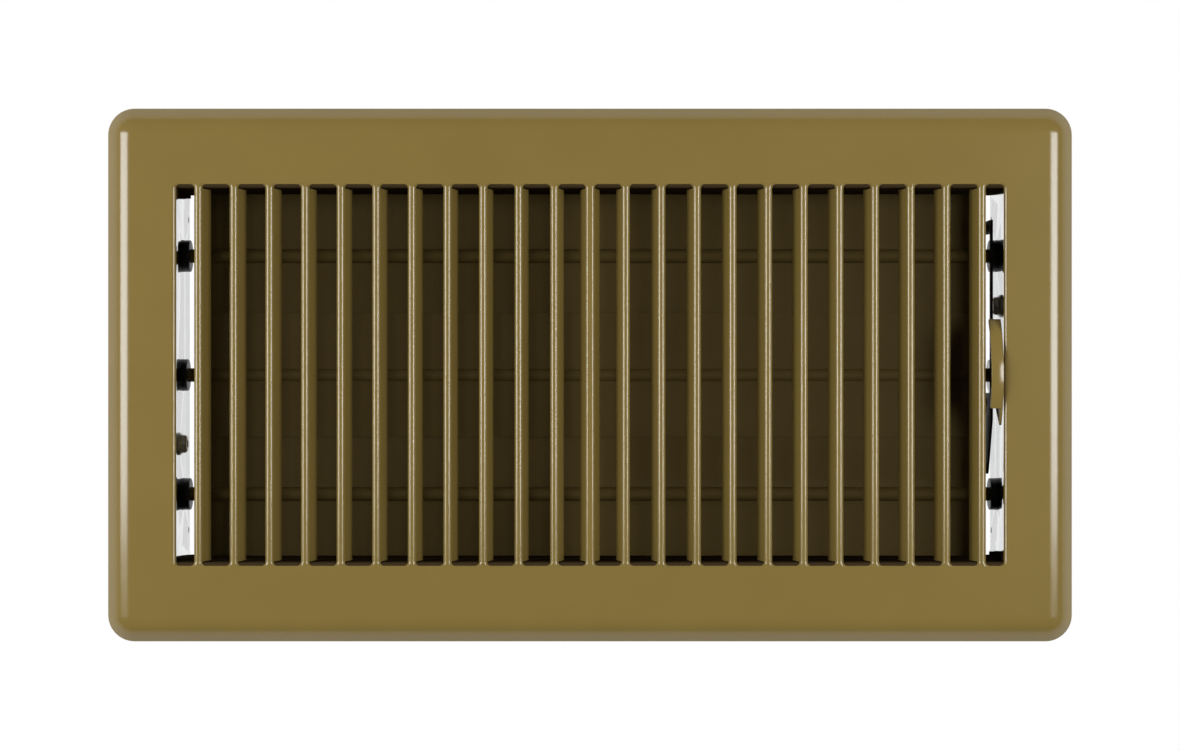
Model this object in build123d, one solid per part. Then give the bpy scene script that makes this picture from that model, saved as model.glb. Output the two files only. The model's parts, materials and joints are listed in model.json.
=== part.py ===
from build123d import *
import os
from math import cos, radians, sin, tan

# Floor register: stamped steel grille over an opposed-blade damper box.
# X runs along the plate, Y across it, Z up. The box stands on z = 0 and is centred on the origin.

# Face plate, pressed from one sheet
face_sheet = 0.9
end_border = 25.15
side_border = 27.5
plate_corner = 9.5
rim_drop = 5.8
rim_slope = 50.0
rim_bend = 6.0

# Louvred grille, lanced from the same sheet
louvre_pitch = 12.7
louvres_per_side = 11
slot_half = 68.0
slot_chamfer = 1.2
bend_radius = 1.3
bend_reach = 0.2
centre_bend_reach = 0.35
louvre_lean = 13.0
louvre_depth = 9.2
lip_bevel = 1.1
lip_reach = 0.4
lip_drop = 1.7
end_slot_width = 6.4

# Damper box
slot_overhang = 1.25
slat_wall_gap = 0.25
wall_lip_gap = 0.3
side_sheet = 0.8
end_sheet = 0.7
side_flange = 6.0
wall_bend = 1.2
corner_tab = 6.0
corner_flange = 8.0
tab_inset = 2.5
blank_hole = 2.3
blank_hole_inset = 9.25
blank_hole_height = 2.8

# Damper blades and their pivots
blade_edge_gap = 0.4
blade_overlap = 1.7
blade_sheet = 0.5
middle_lift = 0.85
neighbour_drop = 0.3
louvre_gap = 0.6
box_below_axle = 12.0
axle_diameter = 5.0
axle_overrun = 0.5
shoulder_half = 4.6
open_angle = 50.0

# Flanged bushings
bushing_clearance = 0.05
bushing_barrel = 7.0
bushing_flange = 11.6
bushing_flange_thickness = 1.0
bushing_overrun = 1.5

# Linkage, at the right end between the blades and the end wall
pin_offset_y = 10.0
pin_offset_z = 5.0
pin_diameter = 3.0
pin_clearance = 0.05
open_pin_clearance = 0.3
ear_radius = 3.2
ear_inset = 0.3
hook_overrun = 0.5
link_sheet = 0.8
link_screw_gap = 0.6
link_shoulder_gap = 0.4
link_rise_gap = 0.7
link_bar_height = 2.8
link_eye_radius = 2.4
slot_margin = 1.6

# Thumb lever, whose tread reaches in over the link
lever_slot_gap = 0.5
lever_proud = 2.5
lever_sheet = 0.8
lever_tread = 1.4
lever_tread_width = 4.3
lever_tread_blade_gap = 2.3
lever_back_angle = 41.0
lever_front_angle = 23.0
lever_nose_angle = 36.0
lever_hub_radius = 5.6
lever_boss_radius = 2.6
lever_pin_overrun = 0.4

# Screws and the brackets they draw the box up to
screw_offset_y = 25.0
screw_depth = 17.0
screw_shank = 4.1
screw_length = 3.6
washer_diameter = 8.3
washer_thickness = 0.9
hex_across_flats = 6.35
screw_head_height = 2.8
screw_clearance = 0.1
bracket_sheet = 1.2
bracket_width = 14.0
bracket_below_screw = 8.0
bracket_foot = 10.0
bracket_bend = 1.6

# Grille and plate sizes that follow
louvre_turn = 90.0 - louvre_lean
plain_reach = lip_reach + lip_bevel
bend_side_reach = bend_reach + bend_radius * sin(radians(louvre_turn))
centre_reach = centre_bend_reach + bend_radius * sin(radians(louvre_turn))
louvre_tip = louvre_depth + face_sheet * sin(radians(louvre_lean))
end_slot_edge = louvres_per_side * louvre_pitch + plain_reach + end_slot_width
plate_length = 2 * (end_slot_edge + end_border)
plate_width = 2 * (slot_half + side_border)
rim_bend_drop = rim_bend * (1 - cos(radians(rim_slope)))
rim_leg_reach = (rim_drop - rim_bend_drop) / sin(radians(rim_slope)) * cos(radians(rim_slope))
rim_reach = rim_bend * sin(radians(rim_slope)) + rim_leg_reach

# Box and blade sizes that follow: three blades just lap each other between the long walls
side_wall_half = slot_half - slot_overhang
slat_half = side_wall_half - slat_wall_gap
end_wall_half = end_slot_edge + face_sheet + wall_lip_gap
blade_half = (side_wall_half - blade_edge_gap + blade_overlap) / 3
blade_pitch = 2 * blade_half - blade_overlap
open_turn = radians(open_angle)
blade_rise = blade_half * sin(open_turn) + (middle_lift + blade_sheet / 2) * cos(open_turn)
axle_depth = louvre_tip + louvre_gap + blade_rise
box_depth = axle_depth + box_below_axle
face_top = box_depth
face_under = face_top - face_sheet
axle_height = face_top - axle_depth
axle_radius = axle_diameter / 2
bushing_reach = end_wall_half + end_sheet + bushing_overrun
axle_reach = bushing_reach + axle_overrun

# Linkage sizes that follow
pin_radius = pin_diameter / 2
link_plane = end_wall_half - screw_head_height - link_screw_gap - link_sheet
lever_outside = end_slot_edge - lever_slot_gap
tread_inside = lever_outside - lever_tread_width
blade_end = tread_inside - lever_tread_blade_gap
shoulder_end = link_plane - link_shoulder_gap
link_fall = pin_offset_z * (1 - cos(open_turn)) + pin_offset_y * sin(open_turn)
link_bar_low = link_fall + shoulder_half * sin(open_turn) + link_rise_gap
crank_radius = (pin_offset_y**2 + pin_offset_z**2) ** 0.5
pin_swing = 2 * (crank_radius - pin_offset_y) + 2 * open_pin_clearance
lever_radius = axle_depth + lever_proud
screw_height = face_top - screw_depth
bracket_drop = screw_depth - face_sheet + bracket_below_screw


def save(part, name):
    """Write one piece to its own file."""
    part.label = name
    export_step(part, f"parts/{name}.step")


def bent_edge(start, side, radius, turn, drop, sheet=face_sheet, rolled=False):
    """Section of a sheet edge turned down from the face, from the end of the flat to its tip.

    A rolled edge follows its radius inside and is cut level at its tip. A tight fold is square inside.
    """
    inner = radius - sheet
    full, half = radians(turn), radians(turn / 2)

    def on_bend(bend, angle):
        return start + side * bend * sin(angle), face_top - radius + bend * cos(angle)

    leg = (drop - radius * (1 - cos(full))) / sin(full)
    step_x, step_z = side * leg * cos(full), -leg * sin(full)
    out_end, in_end = on_bend(radius, full), on_bend(inner, full)
    out_tip = (out_end[0] + step_x, out_end[1] + step_z)
    in_tip = (in_end[0] + step_x, in_end[1] + step_z)
    top, under = (start, face_top), (start, face_top - sheet)
    if rolled:
        in_tip = (out_tip[0] - side * sheet / sin(full), out_tip[1])
        inside = Polyline(out_tip, in_tip, in_end, on_bend(inner, half), under, top)
    else:
        crease = (start + side * inner * tan(full / 2), face_top - sheet)
        inside = Polyline(out_tip, in_tip, crease, under, top)
    return make_face([ThreePointArc(top, on_bend(radius, half), out_end), Line(out_end, out_tip), inside])


def lip_edge(start, side):
    """Section of a slat's plain edge: a short lip turned down over a bevelled corner."""
    outer, inner = start + side * lip_bevel, start + side * (lip_bevel - face_sheet)
    under, tip = face_top - face_sheet, face_top - lip_drop
    corner = face_top - lip_bevel
    outline = [(start, face_top), (outer, corner), (outer, tip), (inner, tip), (inner, under), (start, under)]
    return make_face(Polyline(*outline, close=True))


def block(x, y, z):
    """A box between two values of X, of Y and of Z."""
    return Pos((x[0] + x[1]) / 2, (y[0] + y[1]) / 2, (z[0] + z[1]) / 2) * Box(
        abs(x[1] - x[0]), abs(y[1] - y[0]), abs(z[1] - z[0])
    )


def rod(radius, x_from, x_to, y=0.0, z=axle_height):
    """A round bar along X."""
    return Pos((x_from + x_to) / 2, y, z) * Rot(Y=90) * Cylinder(radius, abs(x_to - x_from))


def plate_along_x(outline, x_from, thickness):
    """A flat piece cut from sheet that lies across X, drawn in Y and Z from the axle line."""
    return Pos(x_from, 0, axle_height) * extrude(Plane.YZ * outline, amount=thickness)


# Face plate

def slat_section(number):
    """Section of one slat: a louvre folded towards the middle, and a lip on its other edge."""
    x = number * louvre_pitch
    if number == 0:
        sides = [-1, 1]
        section = Rectangle(2 * centre_bend_reach, face_sheet)
        section = Pos(0, face_top - face_sheet / 2) * section
        for side in sides:
            section += bent_edge(side * centre_bend_reach, side, bend_radius, louvre_turn, louvre_depth)
        return section
    outward = 1 if number > 0 else -1
    fold_start, lip_start = x - outward * bend_reach, x + outward * lip_reach
    flat = Pos((fold_start + lip_start) / 2, face_top - face_sheet / 2)
    section = flat * Rectangle(bend_reach + lip_reach, face_sheet)
    section += bent_edge(fold_start, -outward, bend_radius, louvre_turn, louvre_depth)
    section += lip_edge(lip_start, outward)
    return section


def slot_edges(number):
    """Inner and outer edge of the slot outside slat number 0, 1, 2 and so on, on the +X half."""
    inner = number * louvre_pitch + (plain_reach if number else centre_reach)
    if number == louvres_per_side:
        return inner, end_slot_edge
    return inner, (number + 1) * louvre_pitch - bend_side_reach


def make_faceplate():
    flat_length, flat_width = plate_length - 2 * rim_reach, plate_width - 2 * rim_reach
    sheet = RectangleRounded(flat_length, flat_width, plate_corner - rim_reach)
    for number in range(louvres_per_side + 1):
        inner, outer = slot_edges(number)
        slot = Rectangle(outer - inner, 2 * slot_half)
        slot = chamfer(slot.vertices(), slot_chamfer)
        middle = (inner + outer) / 2
        sheet -= Pos(middle, 0) * slot
        sheet -= Pos(-middle, 0) * slot
    sheet -= Rectangle(2 * (end_slot_edge + lip_bevel), 2 * slat_half)
    plate = extrude(Pos(0, 0, face_under) * sheet, amount=face_sheet)

    outline = RectangleRounded(plate_length, plate_width, plate_corner).wire()
    along = outline % 0
    across = along.cross(Vector(0, 0, 1))
    rim_plane = Plane(origin=outline @ 0, x_dir=across, z_dir=-along)
    rim_section = bent_edge(-rim_reach, 1, rim_bend, rim_slope, rim_drop, rolled=True)
    rim = sweep(rim_plane * rim_section, path=outline)

    folds = []
    for number in range(-louvres_per_side, louvres_per_side + 1):
        folds.append(slat_section(number))
    for side in (-1, 1):
        lip_start = side * (end_slot_edge + lip_bevel)
        folds.append(lip_edge(lip_start, -side))
    bars = [extrude(Plane.XZ * section, amount=slat_half, both=True) for section in folds]
    return plate + [rim, *bars]


# Damper box

def make_side_wall(side):
    """A long wall with a flange under the face. One end has a tab that laps inside the end wall."""
    inside, outside = side_wall_half, side_wall_half + side_sheet
    section = Pos((inside + outside) / 2, face_under / 2) * Rectangle(side_sheet, face_under)
    flange_mid = (inside + outside + side_flange) / 2
    section += Pos(flange_mid, face_under - side_sheet / 2) * Rectangle(side_sheet + side_flange, side_sheet)
    corner = section.vertices().sort_by(lambda v: abs(v.X - inside) + abs(v.Y - face_under))[0]
    section = fillet(corner, wall_bend)
    wall = extrude(Plane.YZ * section, amount=end_wall_half, both=True)
    tab_side = -1
    tab = block(
        (tab_side * end_wall_half, tab_side * (end_wall_half - side_sheet)),
        (inside - corner_tab, inside),
        (tab_inset, face_under - tab_inset),
    )
    wall += tab
    return wall if side > 0 else Rot(Z=180) * wall


def make_end_wall(side):
    """A galvanised end wall, drawn for the right end. The left one is the same part turned round."""
    inside, outside = end_wall_half, end_wall_half + end_sheet
    lap = side_wall_half + side_sheet
    wall = block((inside, outside), (-lap, lap + end_sheet), (0, face_under))
    flange = block((outside - corner_flange, outside), (lap, lap + end_sheet), (0, face_under))
    notch_low = block((outside - corner_flange, inside), (lap, lap + end_sheet), (0, tab_inset))
    notch_top_z = (face_under - side_sheet - tab_inset, face_under)
    notch_top = block((outside - corner_flange, inside), (lap, lap + end_sheet), notch_top_z)
    wall += flange - notch_low - notch_top
    for y in (-blade_pitch, 0, blade_pitch):
        wall -= rod(bushing_barrel / 2, inside - 1, outside + 1, y)
    wall -= rod(screw_shank / 2 + screw_clearance, inside - 1, outside + 1, screw_offset_y, screw_height)
    blank_hole_y = side_wall_half - blank_hole_inset
    for y in (-blank_hole_y, blank_hole_y):
        wall -= rod(blank_hole / 2, inside - 1, outside + 1, y, blank_hole_height)
    return wall if side > 0 else Rot(Z=180) * wall


def make_bushing(side, y):
    """A flanged bushing pressed through the end wall from inside."""
    flange_face = end_wall_half - bushing_flange_thickness
    body = rod(bushing_flange / 2, flange_face, end_wall_half)
    body += rod(bushing_barrel / 2, end_wall_half, bushing_reach)
    body -= rod(axle_radius + bushing_clearance, flange_face - 1, bushing_reach + 1)
    body = Pos(0, y, 0) * body
    return body if side > 0 else mirror(body, Plane.YZ)


# Damper blades

def blade_section(lift):
    """Flat sheet with a half-round bead over the axle line, drawn about that line."""
    flat = Pos(0, lift) * Rectangle(2 * blade_half, blade_sheet) - Circle(axle_radius - blade_sheet)
    under = lift - blade_sheet / 2
    arch = Circle(axle_radius) - Circle(axle_radius - blade_sheet)
    arch -= Pos(0, under - axle_diameter) * Rectangle(2 * axle_diameter, 2 * axle_diameter)
    return flat + arch


def make_blade(y, lift, crank_clearance=None):
    """One blade pressed from sheet: bead, narrow shoulders, and ends rolled into hollow trunnions."""
    section = blade_section(lift)
    blade = extrude(Plane.YZ * section, amount=blade_end, both=True)
    shoulder = section & (Pos(0, lift) * Rectangle(2 * shoulder_half, 4 * axle_diameter))
    blade += extrude(Plane.YZ * shoulder, amount=shoulder_end, both=True)
    roll = Circle(axle_radius) - Circle(axle_radius - blade_sheet)
    for start in (-axle_reach, shoulder_end):
        blade += Pos(start, 0, 0) * extrude(Plane.YZ * roll, amount=axle_reach - shoulder_end)
    if crank_clearance is not None:
        outline = make_hull(
            (Pos(pin_offset_y, pin_offset_z) * Circle(ear_radius)).edges()
            + (Pos(pin_offset_y, lift) * Rectangle(2 * ear_radius, blade_sheet)).edges()
        )
        outline -= Pos(pin_offset_y, pin_offset_z) * Circle(pin_radius + crank_clearance)
        ear_from = blade_end - ear_inset - blade_sheet
        blade += Pos(ear_from, 0, 0) * extrude(Plane.YZ * outline, amount=blade_sheet)
    return Pos(0, y, axle_height) * blade


# Linkage

def make_link_bar():
    """Flat steel link. Two arms end in round hooks bent in to the blades, the one between has a slot."""
    high = link_bar_low + link_bar_height
    rear, front = blade_pitch + pin_offset_y, -blade_pitch + pin_offset_y
    width = 2 * link_eye_radius
    slot_length = pin_diameter + 2 * pin_clearance + pin_swing
    slot_height = pin_diameter + 2 * pin_clearance
    slot_y = -pin_offset_y - pin_swing / 2 + open_pin_clearance
    arm_half = slot_length / 2 + slot_margin
    arm_low = pin_offset_z - pin_radius - slot_margin
    bar_from = slot_y - arm_half
    bar = Pos((rear + link_eye_radius + bar_from) / 2, (link_bar_low + high) / 2)
    outline = bar * Rectangle(rear + link_eye_radius - bar_from, link_bar_height)
    outline += Pos(rear, (pin_offset_z + high) / 2) * Rectangle(width, high - pin_offset_z)
    outline += Pos(rear, pin_offset_z) * Circle(link_eye_radius)
    arm = Pos(slot_y, (arm_low + high) / 2) * Rectangle(2 * arm_half, high - arm_low)
    front_eye = Pos(front, pin_offset_z) * Circle(link_eye_radius)
    outline += make_hull(arm.edges() + front_eye.edges())
    slot = RectangleRounded(slot_length, slot_height, slot_height / 2 - 0.01)
    outline -= Pos(slot_y, pin_offset_z) * slot
    link = plate_along_x(outline, link_plane, link_sheet)
    hook_end = blade_end - ear_inset - blade_sheet - hook_overrun
    for y in (rear, front):
        link += rod(pin_radius, hook_end, link_plane + link_sheet, y, axle_height + pin_offset_z)
    return link


def sector(radius, start, end):
    """Part of a disc between two angles from upright, counted towards -Y."""
    far = 2 * radius
    angles = [radians(a) for a in (start, (start + end) / 2, end)]
    directions = [(-far * sin(a), far * cos(a)) for a in angles]
    return Circle(radius) & make_face(Polyline((0, 0), *directions, close=True))


def make_thumb_lever():
    """Pressed lever: a web beside the end wall, a curved tread bent in over the link, and one pin."""
    lever_plane = lever_outside - lever_sheet
    pin_at = (-pin_offset_y, pin_offset_z)
    web = sector(lever_radius, -lever_back_angle, lever_nose_angle) + Circle(lever_hub_radius)
    web += make_hull((Pos(*pin_at) * Circle(lever_boss_radius)).edges() + Circle(lever_boss_radius).edges())
    web -= Circle(axle_radius)
    lever = plate_along_x(web, lever_plane, lever_sheet)
    tread = sector(lever_radius, -lever_back_angle, lever_front_angle) - Circle(lever_radius - lever_tread)
    lever += plate_along_x(tread, tread_inside, lever_tread_width)
    pin_from = link_plane - lever_pin_overrun
    lever += rod(pin_radius, pin_from, lever_plane + lever_sheet, pin_at[0], axle_height + pin_at[1])
    return lever


# Screws and brackets

def make_screw(side):
    """Hex washer head sheet-metal screw, head inside the box."""
    seat, y, z = end_wall_half, screw_offset_y, screw_height
    washer = rod(washer_diameter / 2, seat - washer_thickness, seat, y, z)
    hexagon = RegularPolygon(hex_across_flats / 2, 6, major_radius=False)
    head = extrude(Plane.YZ * hexagon, amount=screw_head_height - washer_thickness)
    screw = washer + Pos(seat - screw_head_height, y, z) * head
    screw += rod(screw_shank / 2, seat, seat + screw_length, y, z)
    return screw if side > 0 else Rot(Z=180) * screw


def make_bracket(side):
    """Angle bracket welded under the face. The screw draws the end wall against its leg."""
    leg_face = end_wall_half + end_sheet
    section = Pos(leg_face + bracket_sheet / 2, face_under - bracket_drop / 2) * Rectangle(
        bracket_sheet, bracket_drop
    )
    foot = Rectangle(bracket_foot, bracket_sheet)
    section += Pos(leg_face + bracket_foot / 2, face_under - bracket_sheet / 2) * foot
    bracket = extrude(Plane.XZ * section, amount=bracket_width / 2, both=True)
    edge = bracket.edges().filter_by(Axis.Y).sort_by(lambda e: abs(e.center().X - leg_face) - e.center().Z)[0]
    bracket = fillet(edge, bracket_bend)
    bracket = Pos(0, screw_offset_y, 0) * bracket
    hole = screw_shank / 2 + screw_clearance
    bracket -= rod(hole, leg_face - 1, leg_face + bracket_sheet + 1, screw_offset_y, screw_height)
    return bracket if side > 0 else Rot(Z=180) * bracket


def main():
    os.makedirs("parts", exist_ok=True)
    save(make_faceplate(), "faceplate")
    for side, place in ((1, "rear"), (-1, "front")):
        save(make_side_wall(side), f"side_wall_{place}")
    for side, place in ((1, "right"), (-1, "left")):
        save(make_end_wall(side), f"end_wall_{place}")
        save(make_screw(side), f"hex_screw_{place}")
        save(make_bracket(side), f"face_bracket_{place}")
        for row, row_name in ((-1, "front"), (0, "middle"), (1, "rear")):
            save(make_bushing(side, row * blade_pitch), f"pivot_bushing_{row_name}_{place}")
    save(make_blade(-blade_pitch, -neighbour_drop, open_pin_clearance), "damper_blade_front")
    save(make_blade(0, middle_lift), "damper_blade_middle")
    save(make_blade(blade_pitch, -neighbour_drop, pin_clearance), "damper_blade_rear")
    save(make_link_bar(), "link_bar")
    save(make_thumb_lever(), "thumb_lever")


if __name__ == "__main__":
    main()
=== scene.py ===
import json
from math import atan2, copysign, cos, pi, radians, sin

import bmesh
import bpy
from bpy.props import FloatProperty, FloatVectorProperty, IntProperty, PointerProperty
from mathutils import Matrix, Vector


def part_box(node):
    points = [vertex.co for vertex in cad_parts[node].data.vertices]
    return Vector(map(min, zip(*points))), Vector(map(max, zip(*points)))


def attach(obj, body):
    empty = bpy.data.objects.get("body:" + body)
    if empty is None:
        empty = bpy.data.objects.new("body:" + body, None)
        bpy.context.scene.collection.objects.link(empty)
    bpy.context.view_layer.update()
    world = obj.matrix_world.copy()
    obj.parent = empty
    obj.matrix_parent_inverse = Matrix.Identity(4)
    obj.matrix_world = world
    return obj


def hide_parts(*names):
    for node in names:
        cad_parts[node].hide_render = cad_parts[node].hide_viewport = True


bl_info = {
    "name": "Floor register",
    "version": (1, 0, 0),
    "blender": (4, 5, 0),
    "location": "3D view, sidebar, Register tab",
    "description": "Builds the finish of a louvred floor register around its packed frame",
    "category": "Add Mesh",
}

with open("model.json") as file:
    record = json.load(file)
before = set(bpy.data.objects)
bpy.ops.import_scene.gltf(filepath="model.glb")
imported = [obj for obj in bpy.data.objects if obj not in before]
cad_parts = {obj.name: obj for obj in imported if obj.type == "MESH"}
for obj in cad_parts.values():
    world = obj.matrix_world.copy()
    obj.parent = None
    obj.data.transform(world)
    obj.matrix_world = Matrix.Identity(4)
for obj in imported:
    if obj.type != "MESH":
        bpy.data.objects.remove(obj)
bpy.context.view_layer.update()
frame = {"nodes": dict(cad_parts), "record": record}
face_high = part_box("faceplate")[1]
wall_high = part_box("end_wall_right")[1]
bushing_low, bushing_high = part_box("pivot_bushing_rear_right")
screw_low, screw_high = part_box("hex_screw_right")

MM = 0.001


# Sizes and colours

def linear(code):
    """Linear RGB of an sRGB hex colour."""
    parts = [int(code[i : i + 2], 16) / 255 for i in (1, 3, 5)]
    return tuple(p / 12.92 if p <= 0.04045 else ((p + 0.055) / 1.055) ** 2.4 for p in parts)


def in_mm(name, text, value):
    """A length property, its default stated in millimetres."""
    return FloatProperty(name=name, description=text, default=value * MM, unit="LENGTH", precision=5)


def in_degrees(name, text, value):
    """An angle property, its default stated in degrees."""
    return FloatProperty(name=name, description=text, default=radians(value), subtype="ANGLE")


def in_watts(name, text, value):
    """A lamp's power."""
    return FloatProperty(name=name, description=text, default=value, unit="POWER")


def colour(name, text, code):
    """A colour property, its default stated as sRGB hex."""
    return FloatVectorProperty(name=name, description=text, default=linear(code), subtype="COLOR", size=3)


class FLOOR_REGISTER_PG_face(bpy.types.PropertyGroup):
    sheet: in_mm("Sheet", "Thickness of the pressed face sheet", 0.9)
    corner: in_mm("Plate corner", "Corner radius of the plate's outline", 9.5)
    rim_drop: in_mm("Rim drop", "Height of the rim below the face", 5.8)
    rim_slope: in_degrees("Rim slope", "Slope of the rim", 50)
    rim_bend: in_mm("Rim bend", "Outer radius of the bend above the rim", 9.0)
    pitch: in_mm("Louvre pitch", "Distance from one slat to the next", 12.7)
    count: IntProperty(name="Slats a side", description="Slats each side of the middle one", default=11)
    slot_half: in_mm("Half slot", "Half the length of a slot", 68.0)
    slot_corner: in_mm("Slot corner", "Corner radius of a slot", 1.45)
    bend: in_mm("Louvre bend", "Outer radius of the fold above a louvre", 1.45)
    bend_reach: in_mm("Bend reach", "From the slat's line to where the fold begins", 0.054)
    centre_bend: in_mm("Centre bend", "Outer radius of the two folds of the middle slat", 1.1)
    centre_reach: in_mm("Centre reach", "From the middle line to where its folds begin", 0.545)
    lean: in_degrees("Louvre lean", "Lean of a louvre off upright", 13)
    depth: in_mm("Louvre depth", "Drop of a louvre's outer line below the face", 9.2)
    lip: in_mm("Lip radius", "Outer radius of a slat's rolled lip", 1.3)
    lip_reach: in_mm("Lip reach", "From the slat's line to where the lip begins", 0.2)
    lip_drop: in_mm("Lip drop", "Drop of the lip below the face", 1.7)
    end_slot: in_mm("End slot", "Width of the slots at the two ends", 6.4)


class FLOOR_REGISTER_PG_colours(bpy.types.PropertyGroup):
    enamel: colour("Enamel", "Golden tan baked enamel", "#806D39")
    # The blades' inside coat is darker than the enamel as painted shade for the dim inside of the box.
    inside: colour("Inside coat", "The thinner coat on the blades", "#544520")
    # A very dark coat on the long walls and brackets, which makes their ledge and corner tabs under the
    # face show dark.
    dark_wall_coat: colour("Primer", "Dark primer of the long walls and brackets", "#3A2F1F")
    zinc: colour("Galvanising", "Bright zinc on the end walls", "#D2D4D3")
    strip: colour("Link strip", "Dark oiled steel of the link", "#221F1B")
    plate: colour("Screw plating", "Bright zinc plate on the screws", "#DEDED8")
    nylon: colour("Nylon", "Black moulded bushings", "#141414")


class FLOOR_REGISTER_PG_stage(bpy.types.PropertyGroup):
    distance: in_mm("Camera distance", "From the face to the camera", 910.0)
    view_width: in_mm("View width", "Width of the picture at the face", 420.4)
    left_power: in_watts("Left softbox", "Power of the left softbox in watts", 8.1)
    right_power: in_watts("Right softbox", "Power of the right softbox in watts", 7.7)
    fill: FloatProperty(name="Fill", description="Strength of the room's even light", default=0.06)


# Nodes

# A Mix node has sockets of the same name, so they are taken by number.
COLOUR_A = 6
COLOUR_B = 7
COLOUR_OUT = 2
FLOAT_A = 2
FLOAT_B = 3


def add_node(tree, kind, settings=None, links=None):
    """Adds a node. settings holds attributes and socket values, links the outputs that feed it."""
    node = tree.nodes.new(kind)
    for name, value in (settings or {}).items():
        if isinstance(name, str) and hasattr(node, name):
            setattr(node, name, value)
        else:
            node.inputs[name].default_value = value
    for name, output in (links or {}).items():
        tree.links.new(output, node.inputs[name])
    return node


def surface_noise(tree, size, detail, stretch=(1, 1, 1)):
    """Noise on Object coordinates whose grain has about the given size in metres."""
    place = add_node(tree, "ShaderNodeTexCoord")
    grain = add_node(tree, "ShaderNodeMapping", {"Scale": stretch}, {"Vector": place.outputs["Object"]})
    return add_node(
        tree,
        "ShaderNodeTexNoise",
        {"Scale": 1 / size, "Detail": detail},
        {"Vector": grain.outputs["Vector"]},
    )


def background_rays(tree):
    """One where the camera or a reflection looks at the background, zero where it gives light."""
    paths = add_node(tree, "ShaderNodeLightPath")
    seen = paths.outputs["Is Camera Ray"]
    for kind in ("Is Glossy Ray", "Is Transmission Ray"):
        either = add_node(
            tree, "ShaderNodeMath", {"operation": "MAXIMUM"}, {0: seen, 1: paths.outputs[kind]}
        )
        seen = either.outputs[0]
    return seen


def two_row_tree(name, material):
    """Geometry Nodes: a row of one piece, and the same row turned half round for the other end."""
    tree = bpy.data.node_groups.new(name, "GeometryNodeTree")
    tree.interface.new_socket("Piece", in_out="INPUT", socket_type="NodeSocketGeometry")
    tree.interface.new_socket("Count", in_out="INPUT", socket_type="NodeSocketInt")
    tree.interface.new_socket("Start", in_out="INPUT", socket_type="NodeSocketVector")
    tree.interface.new_socket("Step", in_out="INPUT", socket_type="NodeSocketVector")
    tree.interface.new_socket("Rows", in_out="OUTPUT", socket_type="NodeSocketGeometry")
    given = add_node(tree, "NodeGroupInput")
    line = add_node(
        tree,
        "GeometryNodeMeshLine",
        {"mode": "OFFSET"},
        {
            "Count": given.outputs["Count"],
            "Start Location": given.outputs["Start"],
            "Offset": given.outputs["Step"],
        },
    )
    row = add_node(
        tree,
        "GeometryNodeInstanceOnPoints",
        links={"Points": line.outputs[0], "Instance": given.outputs["Piece"]},
    )
    turned_row = add_node(
        tree, "GeometryNodeTransform", {"Rotation": (0, 0, pi)}, {"Geometry": row.outputs[0]}
    )
    both = add_node(tree, "GeometryNodeJoinGeometry")
    tree.links.new(row.outputs[0], both.inputs[0])
    tree.links.new(turned_row.outputs[0], both.inputs[0])
    real = add_node(tree, "GeometryNodeRealizeInstances", links={0: both.outputs[0]})
    finished = add_node(
        tree, "GeometryNodeSetMaterial", {"Material": material}, {"Geometry": real.outputs[0]}
    )
    add_node(tree, "NodeGroupOutput", links={0: finished.outputs[0]})
    return tree


# Materials

# Real sizes of the patterns in the finishes, and the depths that their bumps stand for.
PEEL_SIZE = 0.9 * MM
PEEL_DEPTH = 0.05 * MM
CLOUD_SIZE = 22 * MM
CLOUD_DARK = 0.94
CLOUD_LIGHT = 1.05
SPANGLE_SIZE = 5 * MM
SPANGLE_DARK = 0.9
ROLL_MARK_SIZE = 14 * MM
ROLL_MARK_DEPTH = 0.1 * MM
STREAK_WIDTH = 0.7 * MM
STREAK_STRETCH = (1, 0.06, 1)
HAZE_SIZE = 0.4 * MM
GRAIN_SIZE = 0.15 * MM
GRAIN_DEPTH = 0.02 * MM


def new_material(name):
    """A material with an empty tree."""
    material = bpy.data.materials.new(name)
    material.use_nodes = True
    material.node_tree.nodes.clear()
    return material, material.node_tree


def close_material(tree, shader):
    """Joins the shader to the material's output."""
    add_node(tree, "ShaderNodeOutputMaterial", links={"Surface": shader})


def enamel(name, tint, roughness, specular):
    """Enamel with a faint cloud of colour and a fine orange peel, over which its roughness varies."""
    material, tree = new_material(name)
    peel = surface_noise(tree, PEEL_SIZE, detail=3.0)
    cloud = surface_noise(tree, CLOUD_SIZE, detail=3.0)
    tone = add_node(
        tree,
        "ShaderNodeMix",
        {
            "data_type": "RGBA",
            COLOUR_A: (*[c * CLOUD_DARK for c in tint], 1),
            COLOUR_B: (*[c * CLOUD_LIGHT for c in tint], 1),
        },
        {"Factor": cloud.outputs["Fac"]},
    )
    dull = add_node(
        tree,
        "ShaderNodeMapRange",
        {"To Min": roughness[0], "To Max": roughness[1]},
        {"Value": peel.outputs["Fac"]},
    )
    bump = add_node(
        tree,
        "ShaderNodeBump",
        {"Strength": 0.12, "Distance": PEEL_DEPTH},
        {"Height": peel.outputs["Fac"]},
    )
    coat = add_node(
        tree,
        "ShaderNodeBsdfPrincipled",
        {"IOR": 1.52, "Specular IOR Level": specular},
        {"Base Color": tone.outputs[COLOUR_OUT], "Roughness": dull.outputs[0], "Normal": bump.outputs[0]},
    )
    close_material(tree, coat.outputs[0])
    return material


def baked_enamel(colours):
    """Sprayed and baked enamel on the face and the lever: bright bends, and a level satin flat."""
    return enamel("baked_enamel", colours.enamel, roughness=(0.15, 0.21), specular=0.44)


def shaded_blade_enamel(colours):
    """The blades' coat: darker than the face's enamel, as painted shade for the dim inside of the box,
    and with little gloss.
    """
    return enamel("shaded_blade_enamel", colours.inside, roughness=(0.66, 0.78), specular=0.18)


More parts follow.
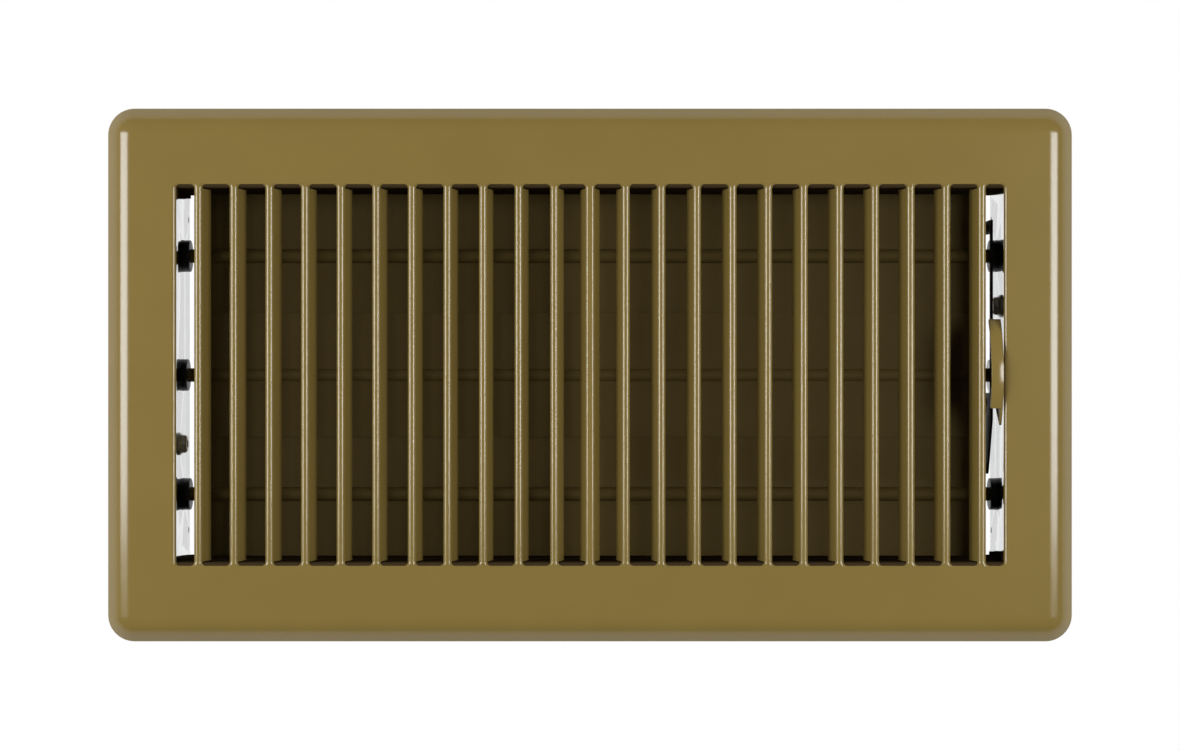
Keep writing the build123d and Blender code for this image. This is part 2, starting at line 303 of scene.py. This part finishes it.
def dark_matt_coat(colours):
    """A very dark, faintly brown, dead matt coat, which makes the long walls' ledge and corner tabs under
    the face show dark.
    """
    return enamel("dark_matt_coat", colours.dark_wall_coat, roughness=(0.7, 0.82), specular=0.0)


def galvanised_sheet(colours):
    """Hot-dip galvanised sheet, rolled bright: a clear reflection with a faint spangle and roll marks."""
    material, tree = new_material("galvanised_sheet")
    place = add_node(tree, "ShaderNodeTexCoord")
    spangle = add_node(
        tree, "ShaderNodeTexVoronoi", {"Scale": 1 / SPANGLE_SIZE}, {"Vector": place.outputs["Object"]}
    )
    tone = add_node(
        tree,
        "ShaderNodeMix",
        {
            "data_type": "RGBA",
            COLOUR_A: (*[c * SPANGLE_DARK for c in colours.zinc], 1),
            COLOUR_B: (*colours.zinc, 1),
        },
        {"Factor": spangle.outputs["Distance"]},
    )
    marks = surface_noise(tree, ROLL_MARK_SIZE, detail=1.0)
    bump = add_node(
        tree,
        "ShaderNodeBump",
        {"Strength": 0.1, "Distance": ROLL_MARK_DEPTH},
        {"Height": marks.outputs["Fac"]},
    )
    metal = add_node(
        tree,
        "ShaderNodeBsdfPrincipled",
        {"Metallic": 1.0, "Roughness": 0.1},
        {"Base Color": tone.outputs[COLOUR_OUT], "Normal": bump.outputs[0]},
    )
    close_material(tree, metal.outputs[0])
    return material


def oiled_strip(colours):
    """Cold rolled strip, darkened by oil: low sheen, streaked along its length."""
    material, tree = new_material("oiled_strip")
    streak = surface_noise(tree, STREAK_WIDTH, detail=2.0, stretch=STREAK_STRETCH)
    dull = add_node(
        tree, "ShaderNodeMapRange", {"To Min": 0.5, "To Max": 0.7}, {"Value": streak.outputs["Fac"]}
    )
    metal = add_node(
        tree,
        "ShaderNodeBsdfPrincipled",
        {"Base Color": (*colours.strip, 1), "Specular IOR Level": 0.1},
        {"Roughness": dull.outputs[0]},
    )
    close_material(tree, metal.outputs[0])
    return material


def zinc_plate(colours):
    """Bright zinc plate over a rolled thread: clear metal with a slightly milky sheen."""
    material, tree = new_material("zinc_plate")
    haze = surface_noise(tree, HAZE_SIZE, detail=2.0)
    dull = add_node(
        tree, "ShaderNodeMapRange", {"To Min": 0.38, "To Max": 0.5}, {"Value": haze.outputs["Fac"]}
    )
    metal = add_node(
        tree,
        "ShaderNodeBsdfPrincipled",
        {"Base Color": (*colours.plate, 1), "Metallic": 1.0},
        {"Roughness": dull.outputs[0]},
    )
    close_material(tree, metal.outputs[0])
    return material


def moulded_nylon(colours):
    """Injection-moulded black nylon: a low, even sheen with a fine spark-eroded grain."""
    material, tree = new_material("moulded_nylon")
    grain = surface_noise(tree, GRAIN_SIZE, detail=2.0)
    bump = add_node(
        tree,
        "ShaderNodeBump",
        {"Strength": 0.15, "Distance": GRAIN_DEPTH},
        {"Height": grain.outputs["Fac"]},
    )
    plastic = add_node(
        tree,
        "ShaderNodeBsdfPrincipled",
        {"Base Color": (*colours.nylon, 1), "Roughness": 0.42, "IOR": 1.53, "Specular IOR Level": 0.2},
        {"Normal": bump.outputs[0]},
    )
    close_material(tree, plastic.outputs[0])
    return material


def white_sweep():
    """White seamless paper. It shows white to the camera and in reflections, and lights as paper does."""
    material, tree = new_material("white_sweep")
    seen = background_rays(tree)
    paper = add_node(tree, "ShaderNodeBsdfDiffuse", {"Color": (0.8, 0.8, 0.8, 1)})
    glow = add_node(tree, "ShaderNodeEmission", {"Color": (1, 1, 1, 1), "Strength": 1.0})
    mixed = add_node(
        tree, "ShaderNodeMixShader", links={0: seen, 1: paper.outputs[0], 2: glow.outputs[0]}
    )
    close_material(tree, mixed.outputs[0])
    return material


# The record's material slots, and two coats that it counts as painted steel: the blades' coat, darkened
# as painted shade, and the long walls' very dark matt coat.
FINISHES = {
    "painted_steel": baked_enamel,
    "shaded_blade_coat": shaded_blade_enamel,
    "dark_wall_coat": dark_matt_coat,
    "galvanised_steel": galvanised_sheet,
    "dark_steel": oiled_strip,
    "zinc_plated_steel": zinc_plate,
    "black_nylon": moulded_nylon,
}
made_materials = {}


def finish_material(finish):
    """The material of a finish, made once."""
    if finish not in made_materials:
        made_materials[finish] = FINISHES[finish](bpy.context.scene.register_colours)
    return made_materials[finish]


# Mesh helpers

SHARP_ANGLE = radians(35)
MERGE_GAP = 0.001 * MM


def new_object(name, data):
    """An object in the scene, at the origin."""
    obj = bpy.data.objects.new(name, data)
    bpy.context.scene.collection.objects.link(obj)
    return obj


def to_mesh(bm, name):
    """A plain mesh with its faces outwards."""
    bmesh.ops.recalc_face_normals(bm, faces=bm.faces)
    mesh = bpy.data.meshes.new(name)
    bm.to_mesh(mesh)
    bm.free()
    return mesh


def join_meshes(name, meshes):
    """One mesh of several, in their order."""
    bm = bmesh.new()
    for mesh in meshes:
        bm.from_mesh(mesh)
    mesh = bpy.data.meshes.new(name)
    bm.to_mesh(mesh)
    bm.free()
    return mesh


def smooth_by_angle(mesh):
    """Shades bends smooth and leaves sheared edges sharp."""
    mesh.shade_smooth()
    mesh.set_sharp_from_angle(angle=SHARP_ANGLE)


def split_large_faces(bm):
    """Splits faces of more than four sides into triangles."""
    bmesh.ops.triangulate(bm, faces=[f for f in bm.faces if len(f.verts) > 4])


def run_nodes(name, mesh, tree, values):
    """Runs a node tree on a mesh and returns the plain mesh that it makes."""
    source = new_object(name + "_source", mesh)
    modifier = source.modifiers.new(name, "NODES")
    modifier.node_group = tree
    for item in tree.interface.items_tree:
        if item.item_type == "SOCKET" and item.in_out == "INPUT" and item.name in values:
            modifier[item.identifier] = values[item.name]
    evaluated = source.evaluated_get(bpy.context.evaluated_depsgraph_get())
    made = bpy.data.meshes.new_from_object(evaluated)
    made.name = name
    bpy.data.objects.remove(source)
    return made


def place_piece(piece, body, slot, *nodes, finish=None):
    """Gives a piece its body and its finish, which is the slot's own unless another is named, and hides
    the CAD nodes that it stands for.
    """
    piece.data.materials.clear()
    piece.data.materials.append(finish_material(finish or slot))
    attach(piece, body)
    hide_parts(*nodes)


# Face plate

FACE_TOP = face_high.z
BEND_STEPS = 8
CORNER_STEPS = 14
SLOT_STEPS = 7
ROLL_STEPS = 6
# Narrow level bands beside the rolls and the rim keep the flat's shading level up to its bends.
FLAT_BAND = 0.08 * MM
RIM_BAND = 0.35 * MM
# The roll that is left in the middle of a slot's end, where the sheet is cut.
CUT_EDGE = 0.3 * MM


def leg_length(radius, turn, drop):
    """Straight length below a bend whose tip is the given drop under the face."""
    return (drop - radius * (1 - cos(turn))) / sin(turn)


def bend_line(sheet, start, side, radius, turn, drop, flat_tip=False):
    """Outer and inner line of a sheet edge folded down from the face, each from the flat to the tip."""
    leg = leg_length(radius, turn, drop)
    lines = []
    for bend in (radius, radius - sheet):
        line = []
        for i in range(BEND_STEPS + 1):
            angle = turn * i / BEND_STEPS
            line.append((start + side * bend * sin(angle), FACE_TOP - radius + bend * cos(angle)))
        x, z = line[-1]
        line.append((x + side * leg * cos(turn), z - leg * sin(turn)))
        lines.append(line)
    if flat_tip:
        tip_x, tip_z = lines[0][-1]
        lines[1][-1] = (tip_x - side * sheet / sin(turn), tip_z)
    return lines


def slat_outline(face, middle):
    """Section of a slat on the +X side, or of the middle slat, drawn about the slat's own line."""
    turn = pi / 2 - face.lean
    start, bend = (face.centre_reach, face.centre_bend) if middle else (face.bend_reach, face.bend)
    fold = bend_line(face.sheet, -start, -1, bend, turn, face.depth)
    if middle:
        other = bend_line(face.sheet, start, 1, bend, turn, face.depth)
    else:
        other = bend_line(face.sheet, face.lip_reach, 1, face.lip, pi / 2, face.lip_drop)
    return fold[0][::-1] + other[0] + other[1][::-1] + fold[1]


def slat_mesh(face, middle, name):
    """One slat along Y, from one end of the slots to the other."""
    half = face.slot_half - face.slot_corner
    points = slat_outline(face, middle)
    bm = bmesh.new()
    ends = []
    for y in (-half, half):
        ends.append([bm.verts.new((x, y, z)) for x, z in points])
    for i in range(len(points)):
        j = (i + 1) % len(points)
        bm.faces.new((ends[0][i], ends[0][j], ends[1][j], ends[1][i]))
    bm.faces.new(ends[0])
    bm.faces.new(ends[1])
    split_large_faces(bm)
    return to_mesh(bm, name)


def plate_outline(half_length, half_width, corner):
    """Points of a rounded rectangle, counter-clockwise, each with its outward direction."""
    points = []
    for quarter, (sx, sy) in enumerate(((1, 1), (-1, 1), (-1, -1), (1, -1))):
        centre = Vector((sx * (half_length - corner), sy * (half_width - corner), 0))
        for i in range(CORNER_STEPS + 1):
            angle = pi / 2 * (quarter + i / CORNER_STEPS)
            out = Vector((cos(angle), sin(angle), 0))
            points.append((centre + out * corner, out))
    return points


def slot_places(face):
    """Both edges of every slot from -X to +X, each as its place in X and the radius of the roll there."""
    fold = face.bend * cos(face.lean)
    places = []
    for number in range(face.count + 1):
        left = (number * face.pitch + face.lip_reach + face.lip, face.lip)
        right = ((number + 1) * face.pitch - face.bend_reach - fold, fold)
        if number == 0:
            centre_fold = face.centre_bend * cos(face.lean)
            left = (face.centre_reach + centre_fold, centre_fold)
        if number == face.count:
            right = (left[0] + face.end_slot, face.lip)
        places.append((left, right))
    mirrored = [((-b, roll_b), (-a, roll_a)) for (a, roll_a), (b, roll_b) in reversed(places)]
    return mirrored + places


def roll_section(edge, out, roll, sheet):
    """Section of a slot's rolled edge, from the flat's top side round to its underside."""
    inner = max(roll - sheet, 0)
    tip = FACE_TOP - max(roll, sheet)
    turns = [pi / 2 * i / ROLL_STEPS for i in range(ROLL_STEPS + 1)]
    line = [(roll + FLAT_BAND, FACE_TOP)]
    line += [(roll * (1 - sin(a)), FACE_TOP - roll * (1 - cos(a))) for a in turns]
    line += [(0, tip), (roll - inner, tip)]
    line += [(roll - inner * sin(a), tip + inner * cos(a)) for a in reversed(turns)]
    line.append((roll + FLAT_BAND, FACE_TOP - sheet))
    return [(edge.x + out.x * u, edge.y + out.y * u, z) for u, z in line]


def slot_end_sections(face):
    """Sections round the +Y ends of all slots. The roll tightens from each side to the cut end."""
    corner = face.slot_corner
    window = face.slot_half - corner
    sections = []
    for left, right in slot_places(face):
        for (edge, roll), side in ((left, 1), (right, -1)):
            for i in range(SLOT_STEPS + 1):
                turn = i / SLOT_STEPS if side > 0 else 1 - i / SLOT_STEPS
                out = Vector((-side * cos(pi / 2 * turn), sin(pi / 2 * turn), 0))
                place = Vector((edge + side * corner, window, 0)) + out * corner
                tight = roll + (CUT_EDGE - roll) * turn * turn
                sections.append(roll_section(place, out, tight, face.sheet))
    return sections


def rim_rings(bm, face):
    """The rolled rim, as rings of points from the flat's top round the edge to its underside."""
    slope = face.rim_slope
    reach = face.rim_bend * sin(slope) + leg_length(face.rim_bend, slope, face.rim_drop) * cos(slope)
    outer, inner = bend_line(face.sheet, -reach, 1, face.rim_bend, slope, face.rim_drop, flat_tip=True)
    band = -reach - RIM_BAND
    section = [(band, FACE_TOP)] + outer + inner[::-1] + [(band, FACE_TOP - face.sheet)]
    path = plate_outline(face_high.x, face_high.y, face.corner)
    rings = []
    for u, z in section:
        rings.append([bm.verts.new((p.x + out.x * u, p.y + out.y * u, z)) for p, out in path])
    for ring, following in zip(rings, rings[1:]):
        for i in range(len(path)):
            j = (i + 1) % len(path)
            bm.faces.new((ring[i], ring[j], following[j], following[i]))
    return rings


def slot_lines(bm, face):
    """The rolled ends of all slots, one line of points a section. A flat face closes each slat's end."""
    sections = slot_end_sections(face)
    sections += [[(-x, -y, z) for x, y, z in line] for line in sections]
    lines = [[bm.verts.new(point) for point in line] for line in sections]
    slot_end = 2 * (SLOT_STEPS + 1)
    for i, line in enumerate(lines):
        following = lines[(i + 1) % len(lines)]
        last_slot = (i + 1) % (len(lines) // 2) == 0
        if (i + 1) % slot_end == 0 and not last_slot:
            bm.faces.new(line + following[::-1])
            continue
        for j in range(len(line) - 1):
            bm.faces.new((line[j], following[j], following[j + 1], line[j + 1]))
    return lines


def fill_flat(bm, ring, hole):
    """Fills the sheet's flat between the rim and the line round the slots."""
    bounds = []
    for loop in (ring, hole):
        for i in range(len(loop)):
            pair = (loop[i], loop[(i + 1) % len(loop)])
            bounds.append(bm.edges.get(pair) or bm.edges.new(pair))
    bmesh.ops.triangle_fill(bm, edges=bounds, use_beauty=True)


def pressed_sheet(face):
    """The plate as one closed mesh: flat sheet, rolled rim, and slot ends rolled on from the slats."""
    bm = bmesh.new()
    rings = rim_rings(bm, face)
    lines = slot_lines(bm, face)
    fill_flat(bm, rings[0], [line[0] for line in lines])
    fill_flat(bm, rings[-1], [line[-1] for line in lines])
    split_large_faces(bm)
    bmesh.ops.remove_doubles(bm, verts=bm.verts, dist=MERGE_GAP)
    bmesh.ops.dissolve_degenerate(bm, edges=bm.edges, dist=MERGE_GAP)
    return to_mesh(bm, "pressed_sheet")


class FLOOR_REGISTER_OT_face_plate(bpy.types.Operator):
    """Make the face plate: pressed sheet, rolled rim and the two rows of louvred slats"""

    bl_idname = "floor_register.face_plate"
    bl_label = "Face plate"

    def execute(self, context):
        face = context.scene.register_face
        tree = two_row_tree("slat_rows", finish_material("painted_steel"))
        step = (face.pitch, 0, 0)
        values = {"Count": face.count, "Start": step, "Step": step}
        slats = run_nodes("slats", slat_mesh(face, middle=False, name="slat"), tree, values)
        middle = slat_mesh(face, middle=True, name="middle_slat")
        mesh = join_meshes("face_plate", [pressed_sheet(face), slats, middle])
        smooth_by_angle(mesh)
        place_piece(new_object("face_plate", mesh), "root", "painted_steel", "faceplate")
        return {"FINISHED"}


# Walls, blades and linkage

SHEET_EASE = 0.12 * MM
LEVER_EASE = 0.15 * MM
LINK_EASE = 0.08 * MM
FLAT_ANGLE = radians(0.5)
SHEARED_ANGLE = radians(40)
CAD_MERGE_GAP = 0.002 * MM
# A long wall's corner tab is what reaches inside TAB_REACH from the middle line. Its cut edge is
# narrowed towards the foot, so that it shows straight from above.
TAB_REACH = 65.75 * MM
TAB_HEAD = 63.0 * MM
TAB_FOOT = 65.4 * MM


def taper_tab(bm):
    """Cuts a long wall's corner tab on a slant from its head to its foot."""
    edge = [v for v in bm.verts if abs(v.co.y) < TAB_REACH]
    foot = min(v.co.z for v in edge)
    head = max(v.co.z for v in edge)
    for vert in edge:
        share = (vert.co.z - foot) / (head - foot)
        vert.co.y = copysign(TAB_FOOT + (TAB_HEAD - TAB_FOOT) * share, vert.co.y)


def eased_copy(node, name, ease, reshape=None):
    """A copy of a CAD node, its triangles joined and its edges eased, as on sheared and tumbled steel."""
    bm = bmesh.new()
    bm.from_mesh(frame["nodes"][node].data)
    bmesh.ops.remove_doubles(bm, verts=bm.verts, dist=CAD_MERGE_GAP)
    bmesh.ops.dissolve_limit(bm, angle_limit=FLAT_ANGLE, verts=bm.verts, edges=bm.edges)
    if reshape:
        reshape(bm)
    sheared = [e for e in bm.edges if len(e.link_faces) == 2 and e.calc_face_angle(0) > SHEARED_ANGLE]
    bmesh.ops.bevel(
        bm, geom=sheared, offset=ease, segments=2, profile=0.5, affect="EDGES", clamp_overlap=True
    )
    split_large_faces(bm)
    mesh = bpy.data.meshes.new(name)
    bm.to_mesh(mesh)
    bm.free()
    smooth_by_angle(mesh)
    return new_object(name, mesh)


def place_sheets(finish, body, *nodes, reshape=None):
    """Stands an eased copy in for each sheet of the CAD model, with a finish of its own."""
    slots = {part["node"]: part["material_slot"] for part in frame["record"]["subparts"]}
    for node in nodes:
        piece = eased_copy(node, node + "_sheet", SHEET_EASE, reshape)
        place_piece(piece, body, slots[node], node, finish=finish)


class FLOOR_REGISTER_OT_box_walls(bpy.types.Operator):
    """Finish the long walls and brackets in a very dark matt coat, and the galvanised end walls"""

    bl_idname = "floor_register.box_walls"
    bl_label = "Box walls"

    def execute(self, context):
        place_sheets("dark_wall_coat", "root", "side_wall_front", "side_wall_rear", reshape=taper_tab)
        place_sheets("dark_wall_coat", "root", "face_bracket_left", "face_bracket_right")
        place_sheets("galvanised_steel", "root", "end_wall_left", "end_wall_right")
        return {"FINISHED"}


class FLOOR_REGISTER_OT_blades(bpy.types.Operator):
    """Finish the three damper blades"""

    bl_idname = "floor_register.blades"
    bl_label = "Damper blades"

    def execute(self, context):
        for place in ("front", "middle", "rear"):
            # The blades' darker coat is painted shade for the dim inside of the box.
            place_sheets("shaded_blade_coat", place + "_blade", "damper_blade_" + place)
        return {"FINISHED"}


class FLOOR_REGISTER_OT_linkage(bpy.types.Operator):
    """Make the thumb lever and the link bar with eased edges"""

    bl_idname = "floor_register.linkage"
    bl_label = "Linkage"

    def execute(self, context):
        lever = eased_copy("thumb_lever", "lever", LEVER_EASE)
        place_piece(lever, "middle_blade", "painted_steel", "thumb_lever")
        link = eased_copy("link_bar", "link", LINK_EASE)
        place_piece(link, "link", "dark_steel", "link_bar")
        return {"FINISHED"}


# Screws and bushings

END_SHEET = 0.7 * MM
WALL_INSIDE = wall_high.x - END_SHEET
TURN_STEPS = 48
TURN_ANGLES = [2 * pi * i / TURN_STEPS for i in range(TURN_STEPS)]

SHANK_STEPS = 40
SHANK_RADIUS = 2.05 * MM
THREAD_DEPTH = 0.55 * MM
THREAD_PITCH = 1.4 * MM
THREAD_SHARPNESS = 3.2
POINT_LENGTH = 1.2 * MM
POINT_SHARE = 0.02
WASHER_RADIUS = 4.15 * MM
WASHER_EDGE = 0.3 * MM
WASHER_HEIGHT = 1.0 * MM
HEX_FLATS = 6.35 * MM
WASHER_TOP = HEX_FLATS * 0.55
HEAD_HEIGHT = 2.8 * MM
HEAD_CHAMFER = 0.55 * MM
HEAD_TOP_SHARE = 0.8
DISH_RADIUS = 1.7 * MM
DISH_FLOOR_SHARE = 0.7

BUSHING_FLANGE = 5.8 * MM
OUTER_FLANGE = 2.3 * MM
MIDDLE_FLANGE = 1.45 * MM
BUSHING_BARREL = 3.5 * MM
BUSHING_BORE = 2.55 * MM
BARB_HEIGHT = 0.35 * MM
BARB_LENGTH = 0.9 * MM
BARB_GAP = 0.02 * MM
BUSHING_EASE = 0.25 * MM
# The middle point of an eased corner, as a share of the ease.
EASE_MIDDLE = 0.3


def thread_radius(x, angle, shank):
    """Radius of a coarse sheet-metal thread at a place along the shank."""
    phase = (x / THREAD_PITCH - angle / (2 * pi)) % 1
    crest = max(0.0, 1 - abs(phase - 0.5) * THREAD_SHARPNESS)
    point = min(1.0, (shank - x) / POINT_LENGTH)
    run_in = min(1.0, x / THREAD_PITCH)
    return (SHANK_RADIUS - THREAD_DEPTH + THREAD_DEPTH * crest * run_in) * max(point, POINT_SHARE)


def screw_sections(shank):
    """Places along X, each with its radius at every turning angle, from the screw's point to its dish."""
    hexagon = [HEX_FLATS / 2 / cos((a + pi / 6) % (pi / 3) - pi / 6) for a in TURN_ANGLES]
    sections = []
    for i in range(SHANK_STEPS, -1, -1):
        x = shank * i / SHANK_STEPS
        sections.append((x, [thread_radius(x, a, shank) for a in TURN_ANGLES]))
    for x, radius in ((0, WASHER_RADIUS), (-WASHER_EDGE, WASHER_RADIUS), (-WASHER_HEIGHT, WASHER_TOP)):
        sections.append((x, [radius] * TURN_STEPS))
    chamfer = -HEAD_HEIGHT + HEAD_CHAMFER
    for x, share in ((-WASHER_HEIGHT, 1.0), (chamfer, 1.0), (-HEAD_HEIGHT, HEAD_TOP_SHARE)):
        sections.append((x, [share * r for r in hexagon]))
    for x, radius in ((-HEAD_HEIGHT, DISH_RADIUS), (chamfer, DISH_RADIUS * DISH_FLOOR_SHARE)):
        sections.append((x, [radius] * TURN_STEPS))
    return sections


def screw_mesh(shank):
    """Hex washer head screw about X: the washer's bearing face at x = 0, the head towards -X."""
    bm = bmesh.new()
    rings = []
    for x, radii in screw_sections(shank):
        rings.append([bm.verts.new((x, r * cos(a), r * sin(a))) for a, r in zip(TURN_ANGLES, radii)])
    for ring, following in zip(rings, rings[1:]):
        for j in range(TURN_STEPS):
            k = (j + 1) % TURN_STEPS
            bm.faces.new((ring[j], ring[k], following[k], following[j]))
    bm.faces.new(rings[0])
    bm.faces.new(rings[-1])
    return to_mesh(bm, "screw")


class FLOOR_REGISTER_OT_screws(bpy.types.Operator):
    """Make the two hex washer head screws with their threads"""

    bl_idname = "floor_register.screws"
    bl_label = "Screws"

    def execute(self, context):
        centre = (screw_low + screw_high) / 2
        tree = two_row_tree("screw_pair", finish_material("zinc_plated_steel"))
        values = {"Count": 1, "Start": (WALL_INSIDE, centre.y, centre.z), "Step": (0, 0, 0)}
        mesh = run_nodes("screws", screw_mesh(screw_high.x - WALL_INSIDE), tree, values)
        smooth_by_angle(mesh)
        piece = new_object("wall_screws", mesh)
        place_piece(piece, "root", "zinc_plated_steel", "hex_screw_left", "hex_screw_right")
        return {"FINISHED"}


def bushing_profile(flange):
    """Half section of a bushing about X, with the wall's inner face at x = 0."""
    reach = bushing_high.x - WALL_INSIDE
    ease = BUSHING_EASE
    barb = END_SHEET + BARB_GAP
    return [
        (-flange, BUSHING_BORE + ease),
        (-flange, BUSHING_FLANGE - ease),
        (-flange + ease * EASE_MIDDLE, BUSHING_FLANGE - ease * EASE_MIDDLE),
        (-flange + ease, BUSHING_FLANGE),
        (0, BUSHING_FLANGE),
        (0, BUSHING_BARREL),
        (barb, BUSHING_BARREL),
        (barb, BUSHING_BARREL + BARB_HEIGHT),
        (barb + BARB_LENGTH, BUSHING_BARREL),
        (reach - ease, BUSHING_BARREL),
        (reach, BUSHING_BARREL - ease),
        (reach, BUSHING_BORE),
        (-flange + ease, BUSHING_BORE),
    ]


def bushing_mesh(flange, name):
    """A bushing as a solid of revolution about X, whose flange has the given thickness."""
    profile = bushing_profile(flange)
    bm = bmesh.new()
    rings = []
    for angle in TURN_ANGLES:
        rings.append([bm.verts.new((x, r * cos(angle), r * sin(angle))) for x, r in profile])
    for i, ring in enumerate(rings):
        following = rings[(i + 1) % TURN_STEPS]
        for j in range(len(profile)):
            k = (j + 1) % len(profile)
            bm.faces.new((ring[j], ring[k], following[k], following[j]))
    bmesh.ops.remove_doubles(bm, verts=bm.verts, dist=MERGE_GAP)
    return to_mesh(bm, name)


class FLOOR_REGISTER_OT_bushings(bpy.types.Operator):
    """Make the six flanged bushings"""

    bl_idname = "floor_register.bushings"
    bl_label = "Bushings"

    def execute(self, context):
        axle = (bushing_low + bushing_high) / 2
        tree = two_row_tree("bushing_rows", finish_material("black_nylon"))
        values = {"Count": 2, "Start": (WALL_INSIDE, -axle.y, axle.z), "Step": (0, 2 * axle.y, 0)}
        outer = run_nodes("outer_bushings", bushing_mesh(OUTER_FLANGE, "outer_bushing"), tree, values)
        values = {"Count": 1, "Start": (WALL_INSIDE, 0, axle.z), "Step": (0, 0, 0)}
        middle = run_nodes("middle_bushings", bushing_mesh(MIDDLE_FLANGE, "middle_bushing"), tree, values)
        mesh = join_meshes("bushings", [outer, middle])
        smooth_by_angle(mesh)
        nodes = [n for n in frame["nodes"] if n.startswith("pivot_bushing")]
        place_piece(new_object("pivot_bushings", mesh), "root", "black_nylon", *nodes)
        return {"FINISHED"}


# Stage

SWEEP_HALF = 4.0
LAMP_LENGTH = 0.37
LAMP_SHIFT = 0.065
LAMPS = {
    "left": {"side": -1, "reach": 0.77, "height": 0.72, "width": 0.56},
    "right": {"side": 1, "reach": 0.68, "height": 0.83, "width": 0.5},
}
# The room has white walls up to WALLS_END and a dark ceiling from CEILING_START, as heights of a ray's
# direction. The object mirrors the walls in full, and is lit by WALLS_LIGHT of their strength.
WALLS_END = 0.12
CEILING_START = 0.4
WALLS_LIGHT = 0.5
SENSOR_WIDTH = 36.0


def make_floor():
    """The white sweep under the object."""
    bm = bmesh.new()
    corners = ((-1, -1), (1, -1), (1, 1), (-1, 1))
    bm.faces.new([bm.verts.new((x * SWEEP_HALF, y * SWEEP_HALF, 0)) for x, y in corners])
    floor = new_object("floor", to_mesh(bm, "floor"))
    floor.data.materials.append(white_sweep())


def make_room(scene, fill):
    """White walls round the horizon, and an even fill from all sides."""
    world = bpy.data.worlds.new("room")
    scene.world = world
    world.use_nodes = True
    tree = world.node_tree
    tree.nodes.clear()
    way = add_node(tree, "ShaderNodeTexCoord")
    parts = add_node(tree, "ShaderNodeSeparateXYZ", links={0: way.outputs["Generated"]})
    walls = add_node(
        tree,
        "ShaderNodeMapRange",
        {
            "interpolation_type": "SMOOTHSTEP",
            "From Min": WALLS_END,
            "From Max": CEILING_START,
            "To Min": 1.0,
            "To Max": fill,
        },
        {"Value": parts.outputs["Z"]},
    )
    share = add_node(
        tree, "ShaderNodeMath", {"operation": "MAXIMUM", 1: WALLS_LIGHT}, {0: background_rays(tree)}
    )
    strength = add_node(
        tree,
        "ShaderNodeMix",
        {"data_type": "FLOAT", FLOAT_A: fill},
        {"Factor": share.outputs[0], FLOAT_B: walls.outputs[0]},
    )
    room = add_node(
        tree, "ShaderNodeBackground", {"Color": (1, 1, 1, 1)}, {"Strength": strength.outputs[0]}
    )
    add_node(tree, "ShaderNodeOutputWorld", links={"Surface": room.outputs[0]})


def make_lamp(name, lamp, power):
    """A long softbox at one side, turned to the face."""
    light = bpy.data.lights.new(name + "_softbox", "AREA")
    light.shape = "RECTANGLE"
    light.size = LAMP_LENGTH
    light.size_y = lamp["width"]
    light.energy = power
    holder = new_object(light.name, light)
    holder.location = (lamp["side"] * lamp["reach"], LAMP_SHIFT, lamp["height"])
    tilt = atan2(lamp["reach"], lamp["height"] - FACE_TOP)
    turn = Matrix.Rotation(lamp["side"] * tilt, 3, "Y") @ Matrix.Rotation(pi / 2, 3, "Z")
    holder.rotation_euler = turn.to_euler()


def make_camera(scene, distance, view_width):
    """The camera straight above the face's middle."""
    camera = bpy.data.cameras.new("camera")
    camera.sensor_width = SENSOR_WIDTH
    camera.lens = SENSOR_WIDTH * distance / view_width
    holder = new_object("camera", camera)
    holder.location = (0, 0, FACE_TOP + distance)
    scene.camera = holder


class FLOOR_REGISTER_OT_stage(bpy.types.Operator):
    """Set the white floor, the two side softboxes, the room's light and the camera above the face"""

    bl_idname = "floor_register.stage"
    bl_label = "Stage"

    def execute(self, context):
        settings = context.scene.register_stage
        context.scene.view_settings.view_transform = "Standard"
        make_floor()
        make_room(context.scene, settings.fill)
        make_lamp("left", LAMPS["left"], settings.left_power)
        make_lamp("right", LAMPS["right"], settings.right_power)
        make_camera(context.scene, settings.distance, settings.view_width)
        return {"FINISHED"}


# Panel and registration

GROUPS = {
    "register_face": FLOOR_REGISTER_PG_face,
    "register_colours": FLOOR_REGISTER_PG_colours,
    "register_stage": FLOOR_REGISTER_PG_stage,
}
OPERATORS = (
    FLOOR_REGISTER_OT_stage,
    FLOOR_REGISTER_OT_face_plate,
    FLOOR_REGISTER_OT_box_walls,
    FLOOR_REGISTER_OT_blades,
    FLOOR_REGISTER_OT_linkage,
    FLOOR_REGISTER_OT_screws,
    FLOOR_REGISTER_OT_bushings,
)


class FLOOR_REGISTER_PT_panel(bpy.types.Panel):
    """The register's pieces, sizes and colours in the sidebar"""

    bl_label = "Floor register"
    bl_space_type = "VIEW_3D"
    bl_region_type = "UI"
    bl_category = "Register"

    def draw(self, context):
        for operator in OPERATORS:
            self.layout.operator(operator.bl_idname)
        for group in GROUPS:
            settings = getattr(context.scene, group)
            for name in settings.__annotations__:
                self.layout.prop(settings, name)


CLASSES = (*GROUPS.values(), *OPERATORS, FLOOR_REGISTER_PT_panel)


def register():
    for cls in CLASSES:
        bpy.utils.register_class(cls)
    for name, group in GROUPS.items():
        setattr(bpy.types.Scene, name, PointerProperty(type=group))


def unregister():
    for name in GROUPS:
        delattr(bpy.types.Scene, name)
    for cls in reversed(CLASSES):
        bpy.utils.unregister_class(cls)


def main():
    register()
    bpy.ops.floor_register.stage()
    bpy.ops.floor_register.face_plate()
    bpy.ops.floor_register.box_walls()
    bpy.ops.floor_register.blades()
    bpy.ops.floor_register.linkage()
    bpy.ops.floor_register.screws()
    bpy.ops.floor_register.bushings()


if __name__ == "__main__":
    main()
